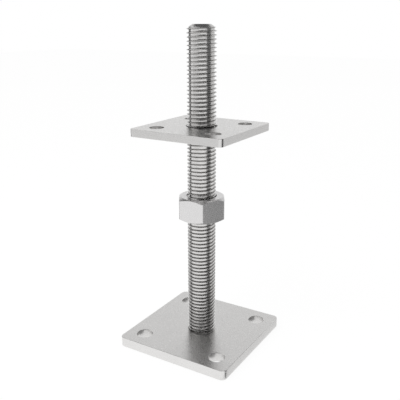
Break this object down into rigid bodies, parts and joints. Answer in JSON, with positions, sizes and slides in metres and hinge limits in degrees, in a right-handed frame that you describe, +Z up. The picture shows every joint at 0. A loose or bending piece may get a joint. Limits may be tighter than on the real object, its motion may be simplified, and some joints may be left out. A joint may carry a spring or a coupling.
{
  "type": "adjustable post base",
  "caption": "Height-adjustable post base: square foot plate and square head plate on an upright threaded rod, with a hexagon lock nut.",
  "frame": {"origin": "centre of the foot plate's underside, on the rod's axis", "axes": "+Z up along the threaded rod, X and Y along the edges of the two square plates"},
  "size_m": [0.1, 0.1, 0.2585],
  "materials": {
    "plate_steel": "satin zinc-plated flat steel",
    "rod_steel": "bright zinc-plated rolled thread",
    "nut_steel": "satin zinc-plated forged nut",
    "weld_steel": "weld dressed flush and zinc-plated"
  },
  "bodies": {
    "base": {"base_plate": "plate_steel", "threaded_rod": "rod_steel", "plug_weld": "weld_steel"},
    "nut": {"lock_nut": "nut_steel"},
    "head": {"head_plate": "plate_steel"}
  },
  "joints": [
    {"name": "nut_travel", "type": "slide", "parent": "base", "child": "nut", "axis": [0, 0, 1], "range_m": [-0.0996, 0.0502]},
    {"name": "head_travel", "type": "slide", "parent": "nut", "child": "head", "axis": [0, 0, 1], "range_m": [-0.0502, 0.0218]}
  ]
}
